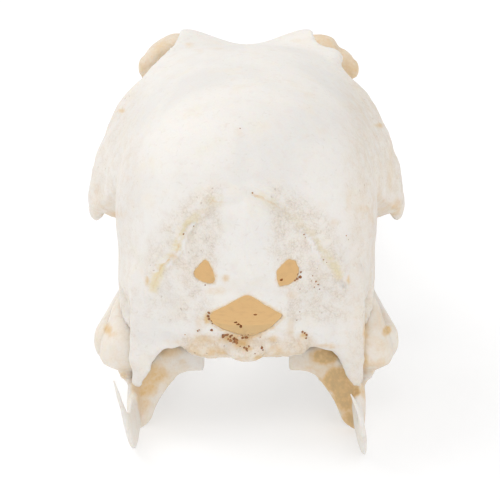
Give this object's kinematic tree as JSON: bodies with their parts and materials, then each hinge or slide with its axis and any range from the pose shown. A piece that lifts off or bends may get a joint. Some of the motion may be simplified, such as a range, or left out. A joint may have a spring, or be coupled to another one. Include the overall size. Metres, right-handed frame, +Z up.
{
  "type": "duck skull",
  "caption": "Clean, dry, life-size skull of a dabbling duck with its lower jaw: open braincase, eye sockets, cheek bars and a long flat bill, standing on its jaw.",
  "frame": {"origin": "middle of the skull's box, on the floor that the lower jaw stands on", "axes": "+Y along the skull from the back of the head to the tip of the bill, +X to the bird's right, +Z up"},
  "size_m": [0.0322, 0.1178, 0.034],
  "materials": {
    "skull_bone": "bleached dry bone, dull with a faint sheen",
    "bill_bone": "bleached dry bone, pitted towards the tip",
    "jaw_bone": "bleached dry bone, dull",
    "cheek_bone": "thin tan bone, slightly translucent",
    "palate_bone": "dry bone with tan remains in the joints"
  },
  "bodies": {
    "root": {"cranium": "skull_bone", "upper_bill": "bill_bone", "mandible": "jaw_bone", "vomer": "palate_bone", "lacrimal_right": "cheek_bone", "lacrimal_left": "cheek_bone", "quadrate_right": "palate_bone", "quadrate_left": "palate_bone", "jugal_right": "cheek_bone", "jugal_left": "cheek_bone", "palatine_right": "palate_bone", "palatine_left": "palate_bone", "pterygoid_right": "palate_bone", "pterygoid_left": "palate_bone"}
  },
  "joints": []
}
